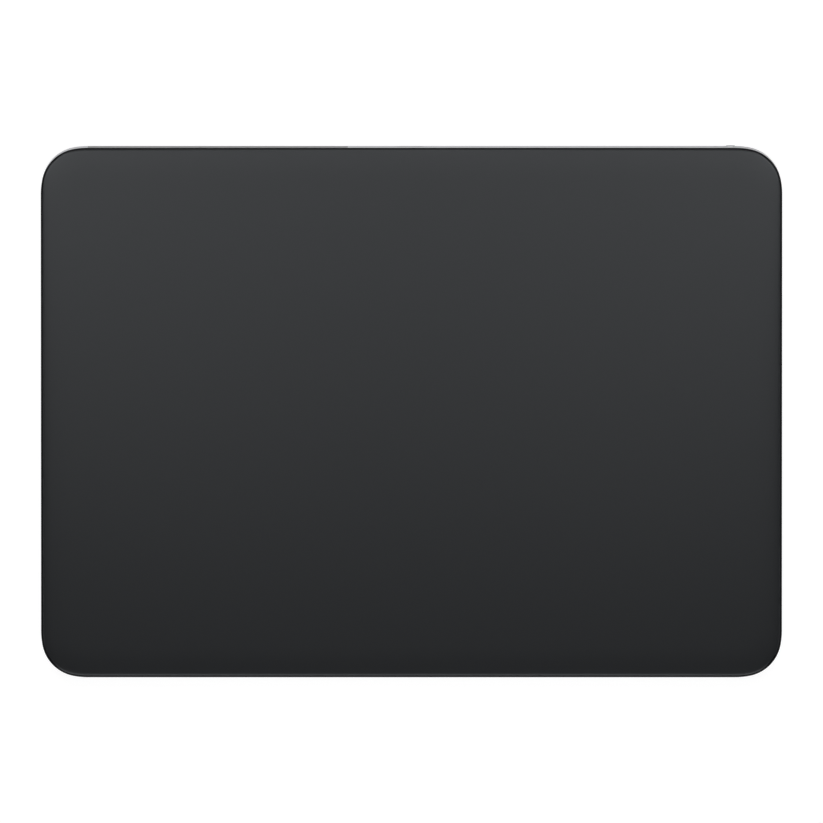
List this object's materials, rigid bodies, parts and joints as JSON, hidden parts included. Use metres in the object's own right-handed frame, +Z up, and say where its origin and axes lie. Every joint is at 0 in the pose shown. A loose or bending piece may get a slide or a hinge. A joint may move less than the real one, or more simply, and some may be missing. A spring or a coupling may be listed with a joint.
{
  "type": "trackpad",
  "caption": "Slim wedge-shaped desk trackpad with a black glass touch surface on force-sensing beams, a haptic actuator, an aluminium case and rubber feet.",
  "frame": {"origin": "on the desk, under the middle of the trackpad's bounding box", "axes": "+X to the user's right along the width, +Y from the user to the rear edge, +Z up"},
  "size_m": [0.16, 0.115, 0.0108],
  "materials": {
    "aluminium": "fine bead-blasted, clear anodised",
    "window": "grey, painted to match the case",
    "black_glass": "matte etched, black printed underneath",
    "adhesive": "black bonding film",
    "board": "solder mask over glass fibre",
    "chip": "moulded epoxy",
    "steel": "satin sheet steel",
    "screw": "blackened steel",
    "copper": "copper foil and wire",
    "gold": "gold-plated contacts",
    "foil": "polyimide film",
    "gel": "soft silicone",
    "rubber": "grey-black rubber",
    "pouch": "black laminate pouch",
    "tape": "white adhesive tape",
    "black_plastic": "moulded",
    "knob": "silver-grey, moulded",
    "green": "green patch",
    "cable": "black jacket"
  },
  "bodies": {
    "case": {"antenna_cable": "cable", "antenna_carrier": "black_plastic", "antenna_trace": "copper", "antenna_window": "window", "battery_board": "board", "battery_cell": "pouch", "battery_flex": "foil", "battery_tape": "tape", "beam_screws": "screw", "board_connectors": "black_plastic", "board_passives": "chip", "board_screws": "screw", "bottom_case": "aluminium", "charger_chip": "chip", "foot_front_left": "rubber", "foot_front_right": "rubber", "foot_rear_left": "rubber", "foot_rear_right": "rubber", "force_beam_front_left": "steel", "force_beam_front_right": "steel", "force_beam_rear_left": "steel", "force_beam_rear_right": "steel", "haptic_coils": "copper", "haptic_core": "steel", "haptic_flex": "foil", "haptic_frame": "steel", "haptic_screws": "screw", "logic_board": "board", "port_board": "board", "port_contacts": "gold", "port_flex": "foil", "port_housing": "black_plastic", "port_screws": "screw", "port_shell": "steel", "processor_chip": "chip", "radio_chip": "chip", "sensor_flex": "foil", "shield_can": "steel", "strain_gauges": "foil", "switch_board": "board", "switch_flex": "foil", "switch_housing": "steel", "switch_screws": "screw", "touch_flex": "foil"},
    "support": {"gel_pads": "gel", "tip_plates": "steel"},
    "touch_plate": {"glass_cover": "black_glass", "glass_bond": "adhesive", "touch_board": "board", "touch_chips": "chip", "carrier_plate": "steel", "attraction_bar": "steel", "bar_screws": "screw"},
    "power_slider": {"switch_knob": "knob", "switch_mark": "green", "switch_lever": "black_plastic"}
  },
  "joints": [
    {"name": "surface_press", "type": "slide", "parent": "case", "child": "support", "axis": [0, 0.0523, -0.9986], "range_m": [0, 0.00015], "stiffness_N_per_m": 15000, "springref_m": -0.00009, "deforming": ["force_beam_front_left", "force_beam_front_right", "force_beam_rear_left", "force_beam_rear_right", "touch_flex"]},
    {"name": "haptic_shift", "type": "slide", "parent": "support", "child": "touch_plate", "axis": [0, 0.9986, 0.0523], "range_m": [-0.0001, 0.0001], "stiffness_N_per_m": 15000, "deforming": ["gel_pads", "touch_flex"]},
    {"name": "power_switch", "type": "slide", "parent": "case", "child": "power_slider", "axis": [1, 0, 0], "range_m": [-0.0025, 0]}
  ]
}
